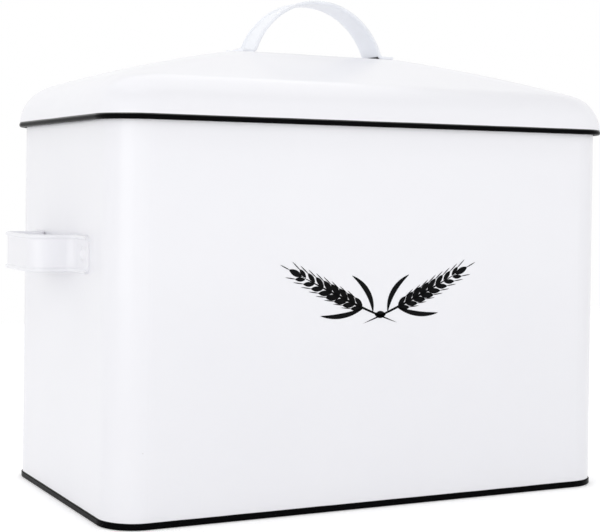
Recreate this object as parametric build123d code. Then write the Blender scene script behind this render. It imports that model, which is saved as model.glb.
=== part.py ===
from build123d import *
import os
from math import atan, cos, hypot, radians, sqrt, tan

# Enamelled steel bread bin: a rounded sheet box with strap handles and a lift-off hipped lid.
# +X is to the right of the front, +Y to the back and +Z up, in millimetres.
# The origin is on the counter, under the middle of the bin.

# Wall of the bin: one sheet wrapped to a rounded box, closed by a flat seam down the back
body_length = 265.0
body_depth = 149.0
corner_radius = 17.0
sheet = 0.6
seam_width = 9.0
seam_proud = 0.7

# Rolled top edge of the wall, turned inwards round a wire
body_wire_diameter = 2.0
wire_clearance = 0.05

# Bottom pan, and the black rim that clinches it to the wall
rim_height = 2.8
rim_proud = 0.6
rim_floor = 0.9
rim_inner_lip = 0.7
rim_edge_round = 0.5
pan_inner_round = 1.4
pan_over_rim = 0.3
panel_inset = 16.0
panel_rise = 1.4
panel_edge_round = 1.0

# Lid: a pressed hipped shell with a rolled black edge
# Halfway up, its roof is fuller than a straight hip by the two fullness sizes
lid_edge_height = 179.0
lid_overhang = 3.4
lid_sheet = 0.6
skirt_height = 0.6
roof_rise = 22.2
end_fullness = 9.0
front_fullness = 2.0
ridge_length = 100.0
ridge_width = 28.0
ridge_corner_radius = 12.0
shoulder_inner_radius = 18.4
ridge_inner_radius = 16.4
lid_bead_diameter = 2.6
lid_bead_proud = 0.3
lid_wire_diameter = 1.3
seat_gap = 0.4

# Lid handle: a strap with a rolled bead along both edges, bowed over the ridge
lid_strap_width = 18.6
lid_strap_thickness = 1.0
lid_strap_bead_diameter = 1.9
lid_bow_rise = 28.4
lid_foot_bend_radius = 3.0
lid_foot_length = 7.4
lid_foot_from_ridge_end = 4.7
lid_rivet_from_bend = 3.4
lid_foot_corner_radius = 4.0

# Side handles: the same kind of strap, bowed square to the end walls
side_strap_width = 17.4
side_strap_thickness = 0.9
side_strap_bead_diameter = 1.9
side_handle_height = 118.5
side_finger_depth = 20.5
side_finger_length = 44.0
side_bow_bend_radius = 7.0
side_foot_bend_radius = 5.0
side_foot_length = 15.0
side_foot_corner_radius = 4.0

# Both straps: the hollow where a rolled edge meets the outer face is eased to this radius
strap_bead_fillet = 0.7

# The outline that rounds the corners of a strap's feet stays this far outside its long edges
strap_trim_clearance = 0.05

# Rivets, one in each foot of each handle, closed over a washer inside the sheet
rivet_shank_diameter = 3.0
rivet_head_diameter = 5.6
rivet_head_height = 1.4
rivet_tail_diameter = 4.8
rivet_tail_height = 1.0
rivet_clearance = 0.05
washer_diameter = 8.0
washer_thickness = 0.8

# Sizes that follow from the ones above
half_length = body_length / 2
half_depth = body_depth / 2
curl_radius = body_wire_diameter / 2 + wire_clearance + sheet
pan_height = rim_height + pan_over_rim + pan_inner_round + sheet
lid_half_length = half_length + lid_overhang
lid_half_depth = half_depth + lid_overhang
lid_corner_radius = corner_radius + lid_overhang
lid_bead_radius = lid_bead_diameter / 2
lid_bead_middle = lid_overhang + lid_bead_proud - lid_bead_radius
lid_bead_height = lid_edge_height + lid_bead_radius
waist_half_length = (lid_half_length + ridge_length / 2) / 2 + end_fullness
waist_half_depth = (lid_half_depth + ridge_width / 2) / 2 + front_fullness
waist_corner_radius = (lid_corner_radius + ridge_corner_radius) / 2


def eave_slope(waist_run, ridge_run):
    """Slope, at the eave, of the smooth roof line through the eave, the waist and the ridge."""
    lower = hypot(waist_run, roof_rise / 2)
    upper = hypot(ridge_run - waist_run, roof_rise / 2)
    share = lower / (lower + upper)
    return atan(roof_rise * (1 / 2 - share**2) / (waist_run - share**2 * ridge_run))


# Slopes of the roof where it leaves the eave, over the front and along a hip
front_run = lid_half_depth - ridge_width / 2
front_slope = eave_slope(front_run / 2 - front_fullness, front_run)
hip_run_x = lid_half_length - lid_corner_radius - ridge_length / 2 + ridge_corner_radius
hip_run_y = lid_half_depth - lid_corner_radius - ridge_width / 2 + ridge_corner_radius
hip_run_round = lid_corner_radius - ridge_corner_radius
hip_run = hypot(hip_run_x, hip_run_y) + hip_run_round
hip_waist_run = hypot(hip_run_x / 2 - end_fullness, hip_run_y / 2 - front_fullness) + hip_run_round / 2
hip_slope = eave_slope(hip_waist_run, hip_run)

# The shoulder reaches lowest at the corners, where the roof is flattest, and the skirt starts below it
shoulder_tangent = (shoulder_inner_radius + lid_sheet) * tan((radians(90) - hip_slope) / 2)
eave_height = lid_bead_height + skirt_height + shoulder_tangent
ridge_height = eave_height + roof_rise

# There the inside of the shoulder rests on the rolled top edge of the wall
seat_reach = shoulder_inner_radius - curl_radius - seat_gap
seat_inset = shoulder_inner_radius + lid_sheet - lid_overhang - curl_radius
curl_height = eave_height - shoulder_tangent + sqrt(seat_reach**2 - seat_inset**2)

# Paths of the two kinds of strap, along the middle of the metal
side_foot_middle = side_strap_thickness / 2
side_leg = (side_finger_length + side_strap_thickness) / 2
side_bow_middle = side_finger_depth + side_strap_thickness / 2
side_foot_start = side_leg + side_foot_bend_radius
side_foot_end = side_foot_start + side_foot_length
side_rivet_place = side_foot_start + side_foot_length / 2
lid_foot_end = ridge_length / 2 - lid_foot_from_ridge_end
lid_foot_start = lid_foot_end - lid_foot_length
lid_rivet_place = lid_foot_start + lid_rivet_from_bend
lid_foot_middle = ridge_height + lid_strap_thickness / 2
lid_bend_centre = lid_foot_middle + lid_foot_bend_radius
bow_middle_rise = lid_bow_rise - lid_strap_bead_diameter
bow_share = lid_foot_start**2 / bow_middle_rise
bow_middle_radius = (bow_share + bow_middle_rise) / 2 - lid_foot_bend_radius
bow_centre = lid_foot_middle + bow_middle_rise - bow_middle_radius
lid_bend_reach = bow_middle_radius + lid_foot_bend_radius


def outline(half_x, half_y, radius, height):
    """Rounded rectangle about the Z axis, lying at a height."""
    return Pos(0, 0, height) * RectangleRounded(2 * half_x, 2 * half_y, radius)


def block(inset, low, high):
    """Upright prism of the wall's outline, taken in all round by an inset."""
    base = outline(half_length - inset, half_depth - inset, corner_radius - inset, low)
    return extrude(base, high - low)


def round_top(solid, radius):
    """Rounds the edges of a solid's highest face."""
    return fillet(solid.faces().sort_by(Axis.Z)[-1].edges(), radius)


def ring(section):
    """Sweeps a section round the bin: its X is outward from the wall's face, its Y is the height."""
    path = FilletPolyline(
        (0, -half_depth, 0),
        (half_length, -half_depth, 0),
        (half_length, half_depth, 0),
        (0, half_depth, 0),
        radius=corner_radius,
    )
    start = Plane(origin=(0, -half_depth, 0), x_dir=(0, -1, 0), z_dir=(-1, 0, 0))
    half = sweep(start * section, path=path)
    return half + mirror(half, about=Plane.YZ)


def strap_section(width, thickness, bead_diameter):
    """Section of a strap: flat inside, with a rolled bead standing out along both edges.

    Its X is the way the strap's outer face looks, from the middle of the metal, and its Y the width.
    """
    bead_radius = bead_diameter / 2
    bead_out = bead_radius - thickness / 2
    bead_up = width / 2 - bead_radius
    section = Rectangle(thickness, 2 * bead_up)
    section += Pos(bead_out, bead_up) * Circle(bead_radius)
    section += Pos(bead_out, -bead_up) * Circle(bead_radius)
    hollows = section.vertices().group_by(Axis.X)[-1]
    return fillet(hollows, strap_bead_fillet)


def foot_outline(half_span, width, radius):
    """Outline of a strap seen square to its feet, with the feet's corners rounded."""
    return RectangleRounded(2 * half_span, width + 2 * strap_trim_clearance, radius)


def rivet(grip):
    """Domed rivet along Z, with its head's underside at the origin and its tail closed below."""
    head = rivet_head_diameter / 2
    shank = rivet_shank_diameter / 2
    tail = rivet_tail_diameter / 2
    dome = (head**2 + rivet_head_height**2) / (2 * rivet_head_height)
    closed = (tail**2 + rivet_tail_height**2) / (2 * rivet_tail_height)
    top = (0, rivet_head_height)
    bottom = (0, -grip - rivet_tail_height)
    profile = make_face(
        [
            Line(bottom, top),
            RadiusArc(top, (head, 0), dome),
            Line((head, 0), (shank, 0)),
            Line((shank, 0), (shank, -grip)),
            Line((shank, -grip), (tail, -grip)),
            RadiusArc((tail, -grip), bottom, closed),
        ]
    )
    return revolve(Plane.XZ * profile, axis=Axis.Z)


def washer():
    """Plain washer along Z, with its top face at the origin."""
    ring_face = Circle(washer_diameter / 2) - Circle(rivet_shank_diameter / 2 + rivet_clearance)
    return extrude(ring_face, -washer_thickness)


def rivet_hole():
    """Through hole for a rivet, long enough for the sheet and the strap on it."""
    reach = 2 * (side_strap_thickness + lid_strap_thickness + sheet + lid_sheet)
    return Cylinder(rivet_shank_diameter / 2 + rivet_clearance, reach)


def at_side_feet(piece, side, offset):
    """Puts a piece at both feet of a side handle, its Z outward, offset from the wall's face."""
    pair = Part()
    for place in (-side_rivet_place, side_rivet_place):
        origin = (side * (half_length + offset), place, side_handle_height)
        pair += Plane(origin=origin, x_dir=(0, 1, 0), z_dir=(side, 0, 0)) * piece
    return pair


def at_lid_feet(piece, offset):
    """Puts a piece at both feet of the lid handle, offset from the ridge's top face."""
    pair = Part()
    for place in (-lid_rivet_place, lid_rivet_place):
        pair += Pos(place, 0, ridge_height + offset) * piece
    return pair


# Bin
def body_wall():
    """Wrapped wall with its rolled top edge, back seam and rivet holes."""
    shell = block(0, rim_floor, curl_height) - block(sheet, rim_floor, curl_height)
    curl = Pos(-curl_radius, curl_height) * (Circle(curl_radius) - Circle(curl_radius - sheet))
    seam_face = Pos(0, half_depth) * Rectangle(seam_width, seam_proud, align=(Align.CENTER, Align.MIN))
    seam_corners = seam_face.vertices().group_by(Axis.Y)[-1]
    seam_face = fillet(seam_corners, seam_proud / 2)
    seam = Pos(0, 0, rim_height) * extrude(seam_face, curl_height - rim_height)
    holes = at_side_feet(rivet_hole(), -1, 0) + at_side_feet(rivet_hole(), 1, 0)
    return shell + seam + ring(curl) - holes


def body_rim_wire():
    """Wire that stiffens the rolled top edge of the wall."""
    return ring(Pos(-curl_radius, curl_height) * Circle(body_wire_diameter / 2))


def bottom_pan():
    """Pressed bottom: a downturned flange inside the wall, and a raised middle panel."""
    top = round_top(block(sheet, rim_floor, pan_height), pan_inner_round + sheet)
    hollow = round_top(block(2 * sheet, rim_floor, pan_height - sheet), pan_inner_round)
    panel_x = half_length - panel_inset
    panel_y = half_depth - panel_inset
    panel = extrude(
        outline(panel_x, panel_y, corner_radius, pan_height - sheet),
        panel_rise + sheet,
    )
    panel = round_top(panel, panel_edge_round)
    recess = extrude(
        outline(panel_x - sheet, panel_y - sheet, corner_radius - sheet, rim_floor),
        pan_height - sheet + panel_rise - rim_floor,
    )
    return top - hollow + panel - recess


def bottom_rim():
    """Black rim folded round the lower edges of the wall and the pan."""
    slot_width = 2 * sheet
    width = rim_proud + slot_width + rim_inner_lip
    section = RectangleRounded(width, rim_height, rim_edge_round)
    section = Pos(rim_proud - width / 2, rim_height / 2) * section
    slot = Rectangle(slot_width, rim_height - rim_floor, align=(Align.MAX, Align.MIN))
    return ring(section - Pos(0, rim_floor) * slot)


def side_handle(side):
    """Bowed strap with rolled edges, standing on the end wall on two feet."""
    path = FilletPolyline(
        (side_foot_middle, -side_foot_end, 0),
        (side_foot_middle, -side_leg, 0),
        (side_bow_middle, -side_leg, 0),
        (side_bow_middle, side_leg, 0),
        (side_foot_middle, side_leg, 0),
        (side_foot_middle, side_foot_end, 0),
        radius=[
            side_foot_bend_radius,
            side_bow_bend_radius,
            side_bow_bend_radius,
            side_foot_bend_radius,
        ],
    )
    section = strap_section(side_strap_width, side_strap_thickness, side_strap_bead_diameter)
    start = Plane(origin=(side_foot_middle, -side_foot_end, 0), x_dir=(1, 0, 0), z_dir=(0, -1, 0))
    strap = sweep(start * section, path=path)
    face = foot_outline(side_foot_end, side_strap_width, side_foot_corner_radius)
    reach = side_finger_depth + side_strap_bead_diameter
    strap = strap & extrude(Plane.YZ * face, reach)
    if side < 0:
        strap = mirror(strap, about=Plane.YZ)
    strap = Pos(side * half_length, 0, side_handle_height) * strap
    return strap - at_side_feet(rivet_hole(), side, 0)


def side_handle_rivets(side):
    """Pair of rivets through a side handle's feet and the wall."""
    grip = side_strap_thickness + sheet + washer_thickness
    return at_side_feet(rivet(grip), side, side_strap_thickness)


def side_handle_washers(side):
    """Pair of washers under the rivets' tails, inside the wall."""
    return at_side_feet(washer(), side, -sheet)


# Lid
def hip_roof(inset):
    """Solid under the lid's skirt and roof, taken in all round by an inset."""
    eave = eave_height - inset * (1 / cos(front_slope) - tan(front_slope))
    top = ridge_height - inset
    eave_line = outline(
        lid_half_length - inset, lid_half_depth - inset, lid_corner_radius - inset, eave
    )
    waist_line = outline(
        waist_half_length - inset / 2,
        waist_half_depth - inset / 2,
        waist_corner_radius - inset / 2,
        (eave + top) / 2,
    )
    ridge_line = outline(ridge_length / 2, ridge_width / 2, ridge_corner_radius, top)
    skirt = extrude(eave_line, lid_bead_height - eave)
    solid = round_top(
        skirt + loft([eave_line, waist_line, ridge_line]),
        ridge_inner_radius + lid_sheet - inset,
    )
    shoulder = solid.edges().filter_by(lambda edge: abs(edge.center().Z - eave) < sheet / 100)
    return fillet(shoulder, shoulder_inner_radius + lid_sheet - inset)


def at_lid_bead(section):
    """Sweeps a section, centred on the lid's rolled edge, round the lid."""
    return ring(Pos(lid_bead_middle, lid_bead_height) * section)


def lid_shell():
    """Pressed hipped shell, open below, seated on its rolled edge."""
    shell = hip_roof(0) - hip_roof(lid_sheet)
    return shell - at_lid_bead(Circle(lid_bead_radius)) - at_lid_feet(rivet_hole(), 0)


def lid_rim():
    """Black rolled edge along the bottom of the lid."""
    hollow = lid_wire_diameter / 2 + wire_clearance
    return at_lid_bead(Circle(lid_bead_radius) - Circle(hollow))


def lid_rim_wire():
    """Wire inside the lid's rolled edge."""
    return at_lid_bead(Circle(lid_wire_diameter / 2))


def lid_handle():
    """Strap with rolled edges, bowed up over the ridge, with its feet turned out along it."""
    share = bow_middle_radius / lid_bend_reach
    joint_x = lid_foot_start * share
    joint_z = bow_centre + (lid_bend_centre - bow_centre) * share
    top = (0, 0, bow_centre + bow_middle_radius)
    left_joint = (-joint_x, 0, joint_z)
    right_joint = (joint_x, 0, joint_z)
    left_start = (-lid_foot_start, 0, lid_foot_middle)
    right_start = (lid_foot_start, 0, lid_foot_middle)
    left_end = (-lid_foot_end, 0, lid_foot_middle)
    right_end = (lid_foot_end, 0, lid_foot_middle)
    left_foot = Line(left_end, left_start)
    left_bend = TangentArc(left_start, left_joint, tangent=left_foot % 1)
    bow = ThreePointArc(left_joint, top, right_joint)
    right_bend = TangentArc(right_joint, right_start, tangent=bow % 1)
    right_foot = Line(right_start, right_end)
    path = Wire([left_foot, left_bend, bow, right_bend, right_foot])
    section = strap_section(lid_strap_width, lid_strap_thickness, lid_strap_bead_diameter)
    start = Plane(origin=left_end, x_dir=(0, 0, 1), z_dir=(-1, 0, 0))
    strap = sweep(start * section, path=path)
    plan = foot_outline(lid_foot_end, lid_strap_width, lid_foot_corner_radius)
    strap = strap & Pos(0, 0, ridge_height) * extrude(plan, lid_bow_rise)
    return strap - at_lid_feet(rivet_hole(), 0)


def lid_handle_rivets():
    """Pair of rivets through the lid handle's feet and the ridge."""
    grip = lid_strap_thickness + lid_sheet + washer_thickness
    return at_lid_feet(rivet(grip), lid_strap_thickness)


def lid_handle_washers():
    """Pair of washers under the rivets' tails, inside the lid."""
    return at_lid_feet(washer(), -lid_sheet)


nodes = {
    "body_wall": body_wall(),
    "body_rim_wire": body_rim_wire(),
    "bottom_pan": bottom_pan(),
    "bottom_rim": bottom_rim(),
    "left_handle": side_handle(-1),
    "left_handle_rivets": side_handle_rivets(-1),
    "left_handle_washers": side_handle_washers(-1),
    "right_handle": side_handle(1),
    "right_handle_rivets": side_handle_rivets(1),
    "right_handle_washers": side_handle_washers(1),
    "lid_shell": lid_shell(),
    "lid_rim": lid_rim(),
    "lid_rim_wire": lid_rim_wire(),
    "lid_handle": lid_handle(),
    "lid_handle_rivets": lid_handle_rivets(),
    "lid_handle_washers": lid_handle_washers(),
}

os.makedirs("parts", exist_ok=True)
for name, solid in nodes.items():
    solid.label = name
    export_step(solid, f"parts/{name}.step")
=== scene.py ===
import math
import bmesh
import bpy
from mathutils import Matrix, Vector


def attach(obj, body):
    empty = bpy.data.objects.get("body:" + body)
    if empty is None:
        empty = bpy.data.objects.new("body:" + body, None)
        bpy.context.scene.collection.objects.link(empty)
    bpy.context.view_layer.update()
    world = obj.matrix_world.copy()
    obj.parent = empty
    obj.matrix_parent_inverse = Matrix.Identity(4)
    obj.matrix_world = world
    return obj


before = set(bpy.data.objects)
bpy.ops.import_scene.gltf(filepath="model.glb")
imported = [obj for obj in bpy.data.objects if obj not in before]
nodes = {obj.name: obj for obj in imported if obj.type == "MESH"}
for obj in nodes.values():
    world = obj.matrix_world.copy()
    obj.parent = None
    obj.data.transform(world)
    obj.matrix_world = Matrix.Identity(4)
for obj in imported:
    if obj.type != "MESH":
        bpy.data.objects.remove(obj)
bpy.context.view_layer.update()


# Wall of the bin
# One thin steel sheet wrapped to a rounded box, closed by a flat seam down the back.
# It is sprayed and fired white inside and out, and its lower edge is dipped in black.
white = (0.885, 0.884, 0.916, 1)
white_cloud = (0.862, 0.862, 0.898, 1)
black = (0.0015, 0.0015, 0.0018, 1)
wall_lap_height = 0.003
cloud_scale = 22.0
speck_scale = 110.0
speck_core = 0.012
speck_rim = 0.032
smear_scale = 9.0
peel_scale = 420.0
belly_scale = 7.0
lap_wander_scale = 55.0
lap_fade = 0.00006
enamel_specular = 0.4
glaze_weight = 0.3
glaze_rough = 0.15


def new_group(name, inputs, outputs):
    """Empty shader node group with named sockets; gives the group and its two end nodes."""
    group = bpy.data.node_groups.new(name, "ShaderNodeTree")
    for label, kind, value in inputs:
        socket = group.interface.new_socket(label, in_out="INPUT", socket_type=kind)
        socket.default_value = value
    for label, kind in outputs:
        group.interface.new_socket(label, in_out="OUTPUT", socket_type=kind)
    return group, group.nodes.new("NodeGroupInput"), group.nodes.new("NodeGroupOutput")


def add_node(tree, kind, settings=None, **sockets):
    """Adds a node; settings are its properties, and sockets its inputs, as values or links."""
    node = tree.nodes.new(kind)
    for key, value in (settings or {}).items():
        setattr(node, key, value)
    for key, value in sockets.items():
        numbered = key[0] == "i" and key[1:].isdigit()
        socket = node.inputs[int(key[1:])] if numbered else node.inputs[key.replace("_", " ")]
        if isinstance(value, bpy.types.NodeSocket):
            tree.links.new(value, socket)
        else:
            socket.default_value = value
    return node


def calc(tree, operation, first, second):
    """Math node on two values or links."""
    return add_node(tree, "ShaderNodeMath", {"operation": operation}, i0=first, i1=second).outputs[0]


def noise(tree, place, scale, detail):
    """Noise texture, as a value about 0.5."""
    return add_node(
        tree, "ShaderNodeTexNoise", Vector=place, Scale=scale, Detail=detail
    ).outputs["Fac"]


def ramp(tree, value, start, end, first, last):
    """Value carried from one range to another, and held at its ends."""
    return add_node(
        tree, "ShaderNodeMapRange", Value=value, i1=start, i2=end, i3=first, i4=last
    ).outputs[0]


def blend_colours(tree, share, first, second):
    """Mix of two colours."""
    return add_node(
        tree, "ShaderNodeMix", {"data_type": "RGBA"}, i0=share, i6=first, i7=second
    ).outputs[2]


def enamel_coat_group():
    """Fired coat: cloudy tint, sparse specks, smears in the gloss, orange peel and a bellied sheet."""
    group, given, result = new_group(
        "enamel_coat",
        [
            ("Place", "NodeSocketVector", (0, 0, 0)),
            ("Colour", "NodeSocketColor", (0.8, 0.8, 0.8, 1)),
            ("Cloud Colour", "NodeSocketColor", (0.8, 0.8, 0.8, 1)),
            ("Speck Colour", "NodeSocketColor", (0.3, 0.3, 0.3, 1)),
            ("Speck Share", "NodeSocketFloat", 0.1),
            ("Gloss Rough", "NodeSocketFloat", 0.15),
            ("Smear Rough", "NodeSocketFloat", 0.1),
            ("Peel Height", "NodeSocketFloat", 0.000004),
            ("Belly Height", "NodeSocketFloat", 0.0001),
        ],
        [
            ("Colour", "NodeSocketColor"),
            ("Roughness", "NodeSocketFloat"),
            ("Height", "NodeSocketFloat"),
        ],
    )
    place = given.outputs["Place"]
    cloud = noise(group, place, cloud_scale, 3.0)
    tint = blend_colours(group, cloud, given.outputs["Colour"], given.outputs["Cloud Colour"])
    cells = add_node(group, "ShaderNodeTexVoronoi", Vector=place, Scale=speck_scale)
    dot = ramp(group, cells.outputs["Distance"], speck_core, speck_rim, 1.0, 0.0)
    chance = add_node(group, "ShaderNodeSeparateColor", Color=cells.outputs["Color"]).outputs[0]
    picked = calc(group, "LESS_THAN", chance, given.outputs["Speck Share"])
    speck = calc(group, "MULTIPLY", dot, picked)
    colour = blend_colours(group, speck, tint, given.outputs["Speck Colour"])
    smear = noise(group, place, smear_scale, 5.0)
    smear = calc(group, "MULTIPLY", smear, given.outputs["Smear Rough"])
    rough = calc(group, "ADD", smear, given.outputs["Gloss Rough"])
    peel = noise(group, place, peel_scale, 1.0)
    peel = calc(group, "MULTIPLY", peel, given.outputs["Peel Height"])
    belly = noise(group, place, belly_scale, 0.0)
    belly = calc(group, "MULTIPLY", belly, given.outputs["Belly Height"])
    group.links.new(colour, result.inputs["Colour"])
    group.links.new(rough, result.inputs["Roughness"])
    group.links.new(calc(group, "ADD", peel, belly), result.inputs["Height"])
    return group


def dipped_edge_group():
    """Share of black near a dipped edge: all of it below a height that wanders a little."""
    group, given, result = new_group(
        "dipped_edge",
        [
            ("Place", "NodeSocketVector", (0, 0, 0)),
            ("Height", "NodeSocketFloat", 0.003),
            ("Wander", "NodeSocketFloat", 0.0003),
        ],
        [("Share", "NodeSocketFloat")],
    )
    place = given.outputs["Place"]
    level = add_node(group, "ShaderNodeSeparateXYZ", Vector=place).outputs["Z"]
    wander = calc(group, "SUBTRACT", noise(group, place, lap_wander_scale, 2.0), 0.5)
    wander = calc(group, "MULTIPLY", wander, given.outputs["Wander"])
    edge = calc(group, "ADD", given.outputs["Height"], wander)
    over = calc(group, "SUBTRACT", level, edge)
    share = ramp(group, over, -lap_fade, lap_fade, 1.0, 0.0)
    group.links.new(share, result.inputs["Share"])
    return group


enamel_coat = enamel_coat_group()
dipped_edge = dipped_edge_group()


def new_material(name):
    """Empty material; gives it with its tree, its shader and the place on the object."""
    material = bpy.data.materials.new(name)
    material.use_nodes = True
    tree = material.node_tree
    place = add_node(tree, "ShaderNodeTexCoord").outputs["Object"]
    return material, tree, tree.nodes["Principled BSDF"], place


def coat_with_enamel(tree, shader, place, coat):
    """Runs the coat group into a shader's roughness and normal, and gives its colour."""
    skin = add_node(tree, "ShaderNodeGroup", {"node_tree": enamel_coat}, Place=place, **coat)
    bump = add_node(tree, "ShaderNodeBump", Distance=1.0, Height=skin.outputs["Height"])
    tree.links.new(skin.outputs["Roughness"], shader.inputs["Roughness"])
    tree.links.new(bump.outputs["Normal"], shader.inputs["Normal"])
    shader.inputs["Specular IOR Level"].default_value = enamel_specular
    shader.inputs["Coat Weight"].default_value = glaze_weight
    shader.inputs["Coat Roughness"].default_value = glaze_rough
    return skin.outputs["Colour"]


def dipped_enamel(name, coat, lap_height):
    """White enamel with a black lap along its lower edge."""
    material, tree, shader, place = new_material(name)
    colour = coat_with_enamel(tree, shader, place, coat)
    lap = add_node(
        tree, "ShaderNodeGroup", {"node_tree": dipped_edge}, Place=place, Height=lap_height
    ).outputs["Share"]
    tree.links.new(blend_colours(tree, lap, colour, black), shader.inputs["Base Color"])
    return material


def dress(material, *names):
    """Puts a material on CAD nodes that keep their own shape."""
    for name in names:
        for slot in nodes[name].material_slots:
            slot.material = material


white_coat = {
    "Colour": white,
    "Cloud Colour": white_cloud,
    "Speck Colour": (0.6, 0.58, 0.56, 1),
    "Speck Share": 0.015,
    "Gloss Rough": 0.24,
    "Smear Rough": 0.14,
    "Peel Height": 0.000006,
    "Belly Height": 0.0004,
}
dress(dipped_enamel("white_enamel_wall", white_coat, wall_lap_height), "body_wall")


# Wires in the rolled edges
# Round zinc-plated steel wire, laid in the top edge of the wall and the edge of the lid
# before these were rolled shut over it.
zinc_pale = (0.62, 0.62, 0.63, 1)
zinc_stain = (0.5, 0.5, 0.52, 1)
spangle_scale = 300.0
stain_scale = 60.0
zinc_bright_rough = 0.25
zinc_dull_rough = 0.5


def zinc_steel(name):
    """Dull zinc plating: pale grey metal with a fine uneven shine."""
    material, tree, shader, place = new_material(name)
    spangle = noise(tree, place, spangle_scale, 3.0)
    stain = noise(tree, place, stain_scale, 4.0)
    colour = blend_colours(tree, stain, zinc_pale, zinc_stain)
    tree.links.new(colour, shader.inputs["Base Color"])
    rough = ramp(tree, spangle, 0.3, 0.7, zinc_bright_rough, zinc_dull_rough)
    tree.links.new(rough, shader.inputs["Roughness"])
    shader.inputs["Metallic"].default_value = 1.0
    return material


plain_zinc = zinc_steel("zinc_steel")
dress(plain_zinc, "body_rim_wire", "lid_rim_wire")


# Bottom pan
# Pressed steel pan with a raised panel, fired white like the wall.
# Underneath, four grey marks are left where it stood on pins in the kiln.
pin_mark_place = (0.085, 0.045, 0.0)
pin_mark_radius = 0.0016
pin_mark_fade = 1.4
pin_mark_colour = (0.1, 0.1, 0.11, 1)
pin_mark_ragged = 0.0012
pin_mark_grain = 900.0
pan_underside = 0.0025


def vector_calc(tree, operation, first, second):
    """Vector math node on two vectors or links."""
    return add_node(tree, "ShaderNodeVectorMath", {"operation": operation}, i0=first, i1=second)


def pan_enamel(name, coat):
    """White enamel with four bare pin marks."""
    material, tree, shader, place = new_material(name)
    colour = coat_with_enamel(tree, shader, place, coat)
    quarter = vector_calc(tree, "ABSOLUTE", place, (0, 0, 0)).outputs["Vector"]
    flat = vector_calc(tree, "MULTIPLY", quarter, (1, 1, 0)).outputs["Vector"]
    reach = vector_calc(tree, "DISTANCE", flat, pin_mark_place).outputs["Value"]
    ragged = calc(tree, "MULTIPLY", noise(tree, place, pin_mark_grain, 2.0), pin_mark_ragged)
    reach = calc(tree, "ADD", reach, ragged)
    mark = ramp(tree, reach, pin_mark_radius, pin_mark_radius * pin_mark_fade, 1.0, 0.0)
    level = add_node(tree, "ShaderNodeSeparateXYZ", Vector=place).outputs["Z"]
    under = calc(tree, "LESS_THAN", level, pan_underside)
    mark = calc(tree, "MULTIPLY", mark, under)
    colour = blend_colours(tree, mark, colour, pin_mark_colour)
    tree.links.new(colour, shader.inputs["Base Color"])
    return material


pan_coat = white_coat | {"Belly Height": 0.0002}
dress(pan_enamel("white_enamel_pan", pan_coat), "bottom_pan")


# Bottom rim
# Folded steel rim that clinches the pan to the wall, dipped in gloss black after the white firing.
# The dip leaves a thick smooth coat with a few pinholes.
black_coat = {
    "Colour": black,
    "Cloud Colour": (0.0025, 0.0025, 0.003, 1),
    "Speck Colour": (0.05, 0.05, 0.05, 1),
    "Speck Share": 0.03,
    "Gloss Rough": 0.18,
    "Smear Rough": 0.1,
    "Peel Height": 0.000004,
    "Belly Height": 0.0,
}
black_specular = 0.02


def black_enamel(name, coat):
    """Black dipped enamel, a single thick coat."""
    material, tree, shader, place = new_material(name)
    colour = coat_with_enamel(tree, shader, place, coat)
    tree.links.new(colour, shader.inputs["Base Color"])
    shader.inputs["Coat Weight"].default_value = 0.0
    shader.inputs["Specular IOR Level"].default_value = black_specular
    return material


black_rim = black_enamel("black_enamel_rim", black_coat)
dress(black_rim, "bottom_rim")


# Wheat ears on the front
# A crossed pair of wheat ears in black, laid on as a transfer and fired into the white coat.
# Every grain, awn and leaf is a pointed blade along a bent line, given for the right-hand ear.
front_face = -0.0745
print_thickness = 0.00012
print_sink = 0.00005
print_middle_height = 0.1015
stem_line = (Vector((-9.0, -14.5)), Vector((11.0, -7.5)), Vector((43.0, 8.5)))
grain_pairs = 8
ear_start = 0.42
ear_end = 0.95
grain_length = 7.4
grain_width = 2.9
grain_lean = math.radians(24)
grain_root_gap = 0.45
grain_taper = 0.25
fullest_grain = 0.8
top_grain_root = 0.98
awn_length = 6.0
awn_width = 0.42
awn_overlap = 0.8
awn_lean = 0.3
stem_width = 1.1
stem_steps = 24
upper_leaf = (Vector((4.0, -9.6)), Vector((4.5, 1.5)), Vector((15.5, 8.0)))
upper_leaf_width = 2.6
lower_leaf = (Vector((9.0, -7.2)), Vector((20.0, -12.5)), Vector((32.0, -10.5)))
lower_leaf_width = 2.4
leaf_steps = 18
tie_line = (Vector((-3.0, -10.6)), Vector((0.0, -10.6)), Vector((3.0, -10.6)))
tie_width = 3.4
blade_fullness = 0.75


def bent_line(line, share):
    """Point on a line that leaves its first point towards the second and ends at the third."""
    first, bend, last = line
    return first.lerp(bend, share).lerp(bend.lerp(last, share), share)


def heading(line, share):
    """Direction of a bent line."""
    first, bend, last = line
    return (bend - first).lerp(last - bend, share).normalized()


def blade(line, width, steps=12):
    """Outline of a blade along a bent line, widest near its middle and pointed at both ends."""
    upper = []
    lower = []
    for step in range(1, steps):
        share = step / steps
        swell = math.sin(math.pi * share) ** blade_fullness
        reach = heading(line, share).orthogonal() * width / 2 * swell
        upper.append(bent_line(line, share) + reach)
        lower.append(bent_line(line, share) - reach)
    return [line[0]] + upper + [line[2]] + lower[::-1]


def straight_blade(start, direction, length, width):
    """Blade along a straight line."""
    end = start + direction * length
    return blade((start, start.lerp(end, 0.5), end), width)


def turned(direction, angle):
    """Direction turned by an angle."""
    return Matrix.Rotation(angle, 2) @ direction


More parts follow.
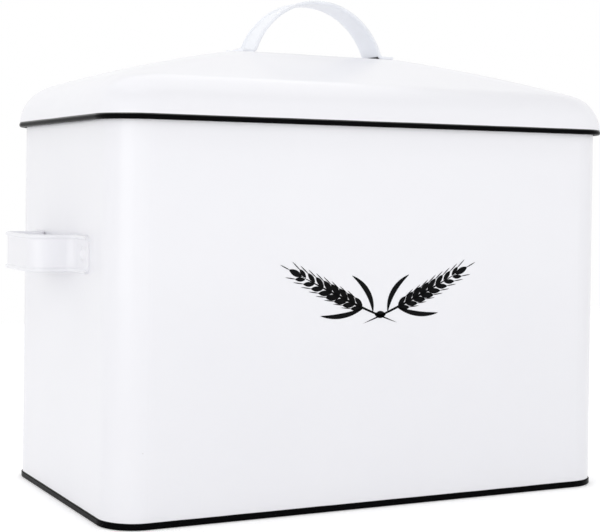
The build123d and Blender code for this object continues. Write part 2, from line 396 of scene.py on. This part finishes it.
def wheat_ear():
    """Outlines of the right-hand ear, in millimetres from the middle of the print."""
    outlines = [blade(stem_line, stem_width, stem_steps)]
    for pair in range(grain_pairs):
        share = ear_start + (ear_end - ear_start) * pair / (grain_pairs - 1)
        root = bent_line(stem_line, share)
        along = heading(stem_line, share)
        size = 1 - grain_taper * abs(2 * pair / (grain_pairs - 1) - fullest_grain)
        for side in (1, -1):
            lean = turned(along, side * grain_lean)
            start = root + along.orthogonal() * side * grain_root_gap
            outlines.append(straight_blade(start, lean, grain_length * size, grain_width * size))
            awn_root = start + lean * grain_length * size - lean * awn_overlap
            awn_heading = turned(along, side * awn_lean)
            outlines.append(straight_blade(awn_root, awn_heading, awn_length, awn_width))
    tip = bent_line(stem_line, top_grain_root)
    along = heading(stem_line, 1.0)
    outlines.append(straight_blade(tip, along, grain_length, grain_width))
    awn_root = tip + along * (grain_length - awn_overlap)
    outlines.append(straight_blade(awn_root, along, awn_length, awn_width))
    outlines.append(blade(upper_leaf, upper_leaf_width, leaf_steps))
    outlines.append(blade(lower_leaf, lower_leaf_width, leaf_steps))
    return outlines


def printed_mesh(name, outlines):
    """Thin closed patches on the front face, from outlines in millimetres."""
    mesh = bpy.data.meshes.new(name)
    build = bmesh.new()
    for outline in outlines:
        rings = []
        for depth in (front_face + print_sink, front_face - print_thickness):
            places = [(x / 1000, depth, print_middle_height + z / 1000) for x, z in outline]
            rings.append([build.verts.new(place) for place in places])
        back, face = rings
        build.faces.new(back)
        build.faces.new(face)
        for here in range(len(outline)):
            after = (here + 1) % len(outline)
            build.faces.new((back[here], back[after], face[after], face[here]))
    bmesh.ops.recalc_face_normals(build, faces=build.faces)
    build.to_mesh(mesh)
    build.free()
    return mesh


right_ear = wheat_ear()
left_ear = [[Vector((-x, z)) for x, z in outline] for outline in right_ear]
tie = blade(tie_line, tie_width)
wheat_ears = bpy.data.objects.new("wheat_ears", printed_mesh("wheat_ears", right_ear + left_ear + [tie]))
bpy.context.scene.collection.objects.link(wheat_ears)
print_coat = black_coat | {"Gloss Rough": 0.25, "Cloud Colour": (0.012, 0.012, 0.013, 1)}
wheat_ears.data.materials.append(black_enamel("black_transfer", print_coat))
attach(wheat_ears, "bin")


# Side handles
# Steel straps with both edges rolled outwards, bowed square and riveted to the end walls.
# They are fired white with the bin. Along the rolled edges the coat is painted grey, partly for the thinner
# coat there and partly as painted shade.
side_strap_height = 0.1185
side_edge_reach = 0.0081
thin_edge_and_shade_colour = (0.6, 0.61, 0.64, 1)
thin_edge_and_shade_fade = 0.0006
edge_grey_patch_scale = 80.0
edge_grey_patch_least = 0.3


def thin_edge_and_shade_group():
    """Share of grey along the two edges of a strap, patchy along their length: partly thin coat, partly
    painted shade.
    """
    group, given, result = new_group(
        "thin_edge_and_shade",
        [
            ("Place", "NodeSocketVector", (0, 0, 0)),
            ("Across", "NodeSocketFloat", 0.0),
            ("Reach", "NodeSocketFloat", 0.01),
            ("Strength", "NodeSocketFloat", 0.3),
        ],
        [("Share", "NodeSocketFloat")],
    )
    away = calc(group, "SUBTRACT", given.outputs["Across"], given.outputs["Reach"])
    edge = ramp(group, away, 0.0, thin_edge_and_shade_fade, 0.0, 1.0)
    patch = noise(group, given.outputs["Place"], edge_grey_patch_scale, 3.0)
    patch = ramp(group, patch, 0.35, 0.65, edge_grey_patch_least, 1.0)
    share = calc(group, "MULTIPLY", edge, patch)
    share = calc(group, "MULTIPLY", share, given.outputs["Strength"])
    group.links.new(share, result.inputs["Share"])
    return group


thin_edge_and_shade = thin_edge_and_shade_group()


def strap_enamel(name, coat, axis, middle, edge_reach):
    """White enamel on a strap, painted grey along its edges (thin coat and painted shade), which are a
    reach away from its middle.
    """
    material, tree, shader, place = new_material(name)
    colour = coat_with_enamel(tree, shader, place, coat)
    where = add_node(tree, "ShaderNodeSeparateXYZ", Vector=place).outputs[axis]
    across = calc(tree, "ABSOLUTE", calc(tree, "SUBTRACT", where, middle), 0.0)
    edge = add_node(
        tree, "ShaderNodeGroup", {"node_tree": thin_edge_and_shade}, Place=place, Across=across, Reach=edge_reach
    ).outputs["Share"]
    # Partly thin coat, partly painted shade: the rolled edges are painted grey.
    colour = blend_colours(tree, edge, colour, thin_edge_and_shade_colour)
    tree.links.new(colour, shader.inputs["Base Color"])
    return material, tree, shader, place, colour


strap_coat = white_coat | {"Belly Height": 0.00005, "Speck Share": 0.03}
side_strap = strap_enamel("white_enamel_side_strap", strap_coat, "Z", side_strap_height, side_edge_reach)[0]
dress(side_strap, "left_handle", "right_handle")


# Rivets and washers of the side handles
# Domed steel rivets, one in each foot, coated white with the strap and closed over zinc washers inside.
# The coat pools in a small hollow round each head.
end_face = 0.1325
side_strap_thickness = 0.0009
side_rivet_reach = 0.03495
pool_profile = [
    (2.60, -0.06),
    (3.90, -0.06),
    (3.90, 0.00),
    (3.55, 0.03),
    (3.25, 0.09),
    (3.00, 0.20),
    (2.82, 0.36),
    (2.70, 0.58),
    (2.60, 0.58),
]
pool_steps = 48


def plain_enamel(name, coat):
    """White enamel with nothing laid over it."""
    material, tree, shader, place = new_material(name)
    tree.links.new(coat_with_enamel(tree, shader, place, coat), shader.inputs["Base Color"])
    return material


rivet_enamel = plain_enamel("white_enamel_rivet", strap_coat)


def enamel_pool(name, place, axis, body):
    """Ring of enamel round a rivet head, standing on the foot of a strap."""
    mesh = bpy.data.meshes.new(name)
    build = bmesh.new()
    turn = Vector(axis).to_track_quat("Z", "Y")
    rings = []
    for step in range(pool_steps):
        angle = 2 * math.pi * step / pool_steps
        spots = [(r * math.cos(angle), r * math.sin(angle), rise) for r, rise in pool_profile]
        rings.append([build.verts.new(Vector(place) + turn @ Vector(spot) / 1000) for spot in spots])
    for step in range(pool_steps):
        here = rings[step]
        after = rings[(step + 1) % pool_steps]
        for spot in range(len(pool_profile)):
            follow = (spot + 1) % len(pool_profile)
            build.faces.new((here[spot], here[follow], after[follow], after[spot])).smooth = True
    bmesh.ops.recalc_face_normals(build, faces=build.faces)
    build.to_mesh(mesh)
    build.free()
    mesh.materials.append(rivet_enamel)
    pool = bpy.data.objects.new(name, mesh)
    bpy.context.scene.collection.objects.link(pool)
    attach(pool, body)


dress(rivet_enamel, "left_handle_rivets", "right_handle_rivets")
dress(plain_zinc, "left_handle_washers", "right_handle_washers")
for side_name, outward in (("left", -1), ("right", 1)):
    foot_face = outward * (end_face + side_strap_thickness)
    for foot_name, reach in (("front", -side_rivet_reach), ("back", side_rivet_reach)):
        enamel_pool(
            f"{side_name}_{foot_name}_rivet_pool",
            (foot_face, reach, side_strap_height),
            (outward, 0, 0),
            "bin",
        )


# Lid
# Pressed steel shell with a hipped, slightly domed roof, fired white inside and out.
# The lower edge of the white is lapped by the black of the rolled rim.
lid_lap_height = 0.18165
lid_coat = white_coat | {"Belly Height": 0.0002}
dress(dipped_enamel("white_enamel_lid", lid_coat, lid_lap_height), "lid_shell")


# Rolled rim of the lid
# A steel bead along the lower edge of the lid, rolled outwards round its wire.
# It is dipped in the same gloss black as the bottom rim.
dress(black_rim, "lid_rim")


# Handle of the lid
# A wider strap with rolled edges, bent to a round bow, its two feet riveted flat to the ridge.
# The undersides of the bends are painted near black, as painted shade in the crevice under them.
lid_edge_reach = 0.0086
bend_middle = (0.0379, 0.0, 0.22094)
bend_outer_radius = 0.0035
bend_shade_top = 0.2192
bend_shade_width = 0.0081
bend_shade_colour = (0.01, 0.01, 0.012, 1)
bend_shade_fade = 0.0003
strap_skin_outer = 0.0002
strap_skin_inner = 0.0004
# Painted light: the lid strap gets a lighter, bluer copy of the white, standing in for cool light on the
# inner face of its bow.
lid_strap_lit_coat = strap_coat | {
    "Colour": (0.89, 0.91, 0.95, 1),
    "Cloud Colour": (0.87, 0.89, 0.935, 1),
}
lid_strap, strap_tree, strap_shader, strap_place, strap_colour = strap_enamel(
    "white_enamel_lid_strap", lid_strap_lit_coat, "Y", 0.0, lid_edge_reach
)
strap_half = vector_calc(strap_tree, "ABSOLUTE", strap_place, (0, 0, 0)).outputs["Vector"]
strap_section = vector_calc(strap_tree, "MULTIPLY", strap_half, (1, 0, 1)).outputs["Vector"]
from_bend = vector_calc(strap_tree, "DISTANCE", strap_section, bend_middle).outputs["Value"]
strap_where = add_node(strap_tree, "ShaderNodeSeparateXYZ", Vector=strap_half)
skin_start = bend_outer_radius - strap_skin_inner
skin_end = bend_outer_radius - strap_skin_outer
# Painted shade: under each bend, above the ridge, the strap is painted near black where shade falls.
bend_shade = ramp(strap_tree, from_bend, skin_start, skin_end, 0.0, 1.0)
for across, limit in (("X", bend_middle[0]), ("Y", bend_shade_width), ("Z", bend_shade_top)):
    within = ramp(strap_tree, strap_where.outputs[across], limit - bend_shade_fade, limit, 1.0, 0.0)
    bend_shade = calc(strap_tree, "MULTIPLY", bend_shade, within)
strap_colour = blend_colours(strap_tree, bend_shade, strap_colour, bend_shade_colour)
strap_tree.links.new(strap_colour, strap_shader.inputs["Base Color"])
dress(lid_strap, "lid_handle")


# Rivets and washers of the lid handle
# Domed steel rivets like those at the sides, one in each foot, coated white with the strap.
# They are closed over zinc washers under the ridge, and the coat pools round their heads.
lid_foot_top = 0.21844
lid_rivet_reach = 0.0413
dress(rivet_enamel, "lid_handle_rivets")
dress(plain_zinc, "lid_handle_washers")
for foot_name, reach in (("left", -lid_rivet_reach), ("right", lid_rivet_reach)):
    enamel_pool(f"lid_{foot_name}_rivet_pool", (reach, 0, lid_foot_top), (0, 0, 1), "lid")


# Floor
# A plain pale floor under the bin, which keeps its soft shadow.
# It looks white to the camera and in reflections, like the room around it.
floor_half = 0.85
floor_drop = 0.0002
floor_lift = 0.32
floor_colour = (0.88, 0.88, 0.885, 1)
floor_rough = 0.9
floor_corners = ((-1, -1), (1, -1), (1, 1), (-1, 1))


def seen_directly(tree):
    """Factor that is 1 for rays that show the background: camera, glossy and transmission rays."""
    path = add_node(tree, "ShaderNodeLightPath")
    seen = calc(tree, "MAXIMUM", path.outputs["Is Camera Ray"], path.outputs["Is Glossy Ray"])
    return calc(tree, "MAXIMUM", seen, path.outputs["Is Transmission Ray"])


floor_mesh = bpy.data.meshes.new("floor")
floor_spots = [(x * floor_half, y * floor_half, -floor_drop) for x, y in floor_corners]
floor_mesh.from_pydata(floor_spots, [], [(0, 1, 2, 3)])
floor = bpy.data.objects.new("floor", floor_mesh)
bpy.context.scene.collection.objects.link(floor)
floor_material, floor_tree, floor_shader = new_material("pale_floor")[:3]
floor_shader.inputs["Base Color"].default_value = floor_colour
floor_shader.inputs["Roughness"].default_value = floor_rough
floor_shader.inputs["Specular IOR Level"].default_value = 0.0
floor_shader.inputs["Emission Color"].default_value = (1, 1, 1, 1)
lift = calc(floor_tree, "MULTIPLY", seen_directly(floor_tree), floor_lift)
floor_tree.links.new(lift, floor_shader.inputs["Emission Strength"])
floor_mesh.materials.append(floor_material)


# Studio
# A plain white room with a dim ceiling, a large soft lamp overhead and two low soft lamps,
# one at the left and one in front.
room_white = 1.0
ceiling_white = 0.2
wall_top = 0.55
ceiling_start = 0.85
world = bpy.data.worlds.new("studio")
bpy.context.scene.world = world
world.use_nodes = True
world_tree = world.node_tree
toward = add_node(world_tree, "ShaderNodeTexCoord").outputs["Generated"]
upward = add_node(world_tree, "ShaderNodeSeparateXYZ", Vector=toward).outputs["Z"]
room = world_tree.nodes["Background"]
room.inputs["Color"].default_value = (1, 1, 1, 1)
room_strength = ramp(world_tree, upward, wall_top, ceiling_start, room_white, ceiling_white)
world_tree.links.new(room_strength, room.inputs["Strength"])


def soft_lamp(name, place, target, width, height, power):
    """Rectangular area lamp turned to a target."""
    data = bpy.data.lights.new(name, "AREA")
    data.shape = "RECTANGLE"
    data.size = width
    data.size_y = height
    data.energy = power
    lamp = bpy.data.objects.new(name, data)
    lamp.location = place
    lamp.rotation_euler = (Vector(target) - Vector(place)).to_track_quat("-Z", "Y").to_euler()
    bpy.context.scene.collection.objects.link(lamp)


soft_lamp(
    "left_lamp", place=(-1.05, -0.75, 0.25), target=(-0.05, -0.02, 0.1), width=0.9, height=0.5, power=1.9
)
soft_lamp("front_lamp", place=(0.1, -1.1, 0.15), target=(0, 0, 0.06), width=1.6, height=0.26, power=1.1)
soft_lamp("top_lamp", place=(0, 0.2, 1.4), target=(0, 0, 0.2), width=1.6, height=1.6, power=9.3)


# Camera
# Eye level with the upper half of the bin, turned to show the front and the left end.
# The lens is long, and the picture is shifted so that upright edges stay nearly upright.
camera_place = (-0.3451, -0.6679, 0.1509)
camera_yaw = math.radians(-26.96)
camera_pitch = math.radians(-0.547)
camera_roll = math.radians(-0.793)
focal_pixels = 1454.7
image_width = 600
image_height = 532
principal_row = 200.0
sensor_width = 36.0
camera_data = bpy.data.cameras.new("camera")
camera_data.sensor_fit = "HORIZONTAL"
camera_data.sensor_width = sensor_width
camera_data.lens = focal_pixels / image_width * sensor_width
camera_data.shift_y = (principal_row - image_height / 2) / image_width
camera = bpy.data.objects.new("camera", camera_data)
turn = (
    Matrix.Rotation(camera_yaw, 3, "Z")
    @ Matrix.Rotation(camera_pitch, 3, "X")
    @ Matrix.Rotation(camera_roll, 3, "Y")
    @ Matrix.Rotation(math.radians(90), 3, "X")
)
camera.matrix_world = Matrix.Translation(camera_place) @ turn.to_4x4()
bpy.context.scene.collection.objects.link(camera)
bpy.context.scene.camera = camera
bpy.context.scene.view_settings.view_transform = "Standard"
